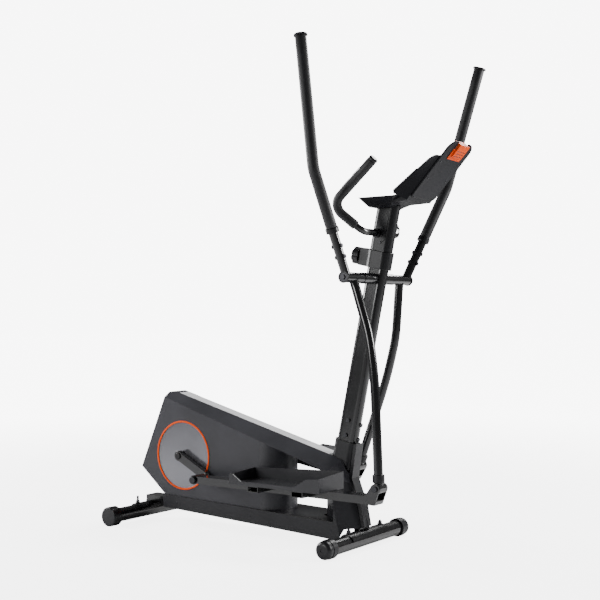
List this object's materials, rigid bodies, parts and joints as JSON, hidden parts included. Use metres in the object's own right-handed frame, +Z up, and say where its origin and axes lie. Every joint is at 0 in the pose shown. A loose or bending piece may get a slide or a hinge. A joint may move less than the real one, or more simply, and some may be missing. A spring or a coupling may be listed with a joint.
{
  "type": "elliptical trainer",
  "caption": "Home elliptical cross trainer with swinging handles, foot pedals on a rear crank, a fixed pulse handlebar and a tilted console",
  "frame": {"origin": "on the floor, under the middle of the outer box", "axes": "+X to the front (towards the console), +Y to the left of the user, +Z up"},
  "size_m": [1.3341, 0.67, 1.6315],
  "materials": {
    "gloss_black_steel": "gloss black powder coat",
    "dark_bolt": "black oxide",
    "black_plastic": "satin moulded",
    "charcoal_plastic": "fine moulded texture",
    "dark_plastic": "fine moulded texture",
    "pedal_plastic": "coarse moulded texture",
    "roller_plastic": "satin moulded",
    "pale_plastic": "smooth",
    "orange_plastic": "smooth",
    "disc_plastic": "mirror gloss",
    "grip_foam": "fine foam",
    "sensor_steel": "brushed",
    "display_glass": "smooth",
    "bright_steel": "ground",
    "pulley_plastic": "moulded",
    "cast_iron": "cast and turned",
    "belt_rubber": "ribbed"
  },
  "bodies": {
    "frame": {"main_frame": "gloss_black_steel", "front_stabiliser": "gloss_black_steel", "rear_stabiliser": "gloss_black_steel", "saddles": "gloss_black_steel", "frame_bolts": "dark_bolt", "stabiliser_caps": "black_plastic", "mast": "gloss_black_steel", "clamp_collar": "black_plastic", "casing_right": "charcoal_plastic", "casing_left": "charcoal_plastic", "lower_cover_right": "dark_plastic", "lower_cover_left": "dark_plastic", "top_strip": "pale_plastic", "crank_covers": "disc_plastic", "accent_rings": "orange_plastic", "mast_collar": "black_plastic", "casing_screws": "dark_bolt", "bearings": "bright_steel", "brake_shoe": "cast_iron", "drive_belt": "belt_rubber"},
    "clamp_knob": {"clamp_knob": "black_plastic"},
    "column": {"column_tube": "gloss_black_steel", "column_cover": "black_plastic", "column_screws": "dark_bolt", "handlebar": "gloss_black_steel", "handlebar_grips": "grip_foam", "handlebar_caps": "black_plastic", "pulse_plates": "sensor_steel", "console_base": "charcoal_plastic", "console_face": "charcoal_plastic", "display_panel": "dark_plastic", "display_window": "display_glass", "holder_plate": "charcoal_plastic"},
    "tablet_clip": {"tablet_clip": "orange_plastic"},
    "crankset": {"crank_axle": "bright_steel", "cranks": "gloss_black_steel", "hub_caps": "black_plastic", "crank_pulley": "pulley_plastic"},
    "flywheel": {"flywheel": "cast_iron", "flywheel_shaft": "bright_steel"},
    "roller_right": {"transport_roller_right": "roller_plastic"},
    "roller_left": {"transport_roller_left": "roller_plastic"},
    "arm_right": {"swing_arm_right": "gloss_black_steel", "hub_fittings_right": "black_plastic", "handle_tube_right": "gloss_black_steel", "handle_grip_right": "grip_foam", "handle_trim_right": "black_plastic", "arm_bolts_right": "dark_bolt"},
    "pedal_arm_right": {"pedal_arm_right": "gloss_black_steel", "pedal_right": "pedal_plastic", "arm_pins_right": "dark_bolt"},
    "arm_left": {"swing_arm_left": "gloss_black_steel", "hub_fittings_left": "black_plastic", "handle_tube_left": "gloss_black_steel", "handle_grip_left": "grip_foam", "handle_trim_left": "black_plastic", "arm_bolts_left": "dark_bolt"},
    "pedal_arm_left": {"pedal_arm_left": "gloss_black_steel", "pedal_left": "pedal_plastic", "arm_pins_left": "dark_bolt"}
  },
  "joints": [
    {"name": "right_swing", "type": "hinge", "parent": "frame", "child": "arm_right", "pos_m": [0.34698, -0.15, 0.879], "axis": [0, 1, 0], "range_deg": [0, 23.31]},
    {"name": "left_swing", "type": "hinge", "parent": "frame", "child": "arm_left", "pos_m": [0.34698, 0.15, 0.879], "axis": [0, 1, 0], "range_deg": [-23.31, 0]},
    {"name": "right_foot_pivot", "type": "hinge", "parent": "arm_right", "child": "pedal_arm_right", "pos_m": [0.44661, -0.155, 0.22555], "axis": [0, 1, 0], "range_deg": [-14.16, 0]},
    {"name": "left_foot_pivot", "type": "hinge", "parent": "arm_left", "child": "pedal_arm_left", "pos_m": [0.1799, 0.155, 0.23946], "axis": [0, 1, 0], "range_deg": [0, 14.16]},
    {"name": "crank_turn", "type": "hinge", "parent": "frame", "child": "crankset", "pos_m": [-0.41905, 0, 0.255], "axis": [0, 1, 0], "continuous": true},
    {"name": "flywheel_turn", "type": "hinge", "parent": "frame", "child": "flywheel", "pos_m": [-0.11905, 0, 0.203], "axis": [0, 1, 0], "continuous": true},
    {"name": "column_height", "type": "slide", "parent": "frame", "child": "column", "axis": [0.2028, 0, 0.9792], "range_m": [0, 0.1]},
    {"name": "knob_turn", "type": "hinge", "parent": "frame", "child": "clamp_knob", "pos_m": [0.27849, 0, 0.95726], "axis": [-0.9792, 0, 0.2028], "range_deg": [0, 360]},
    {"name": "clip_slide", "type": "slide", "parent": "column", "child": "tablet_clip", "axis": [0.6743, 0, 0.7385], "range_m": [0, 0.02], "stiffness_N_per_m": 300, "springref_m": -0.02},
    {"name": "right_roller_turn", "type": "hinge", "parent": "frame", "child": "roller_right", "pos_m": [0.29795, -0.238, 0.03], "axis": [0, 1, 0], "continuous": true},
    {"name": "left_roller_turn", "type": "hinge", "parent": "frame", "child": "roller_left", "pos_m": [0.29795, 0.238, 0.03], "axis": [0, 1, 0], "continuous": true}
  ],
  "couplings": [
    {"joint": "left_swing", "follows": "right_swing", "ratio": -1},
    {"joint": "right_foot_pivot", "follows": "right_swing", "ratio": -0.60723},
    {"joint": "left_foot_pivot", "follows": "right_swing", "ratio": 0.60723},
    {"joint": "crank_turn", "follows": "right_swing", "ratio": 7.7218},
    {"joint": "flywheel_turn", "follows": "right_swing", "ratio": 26.061}
  ]
}
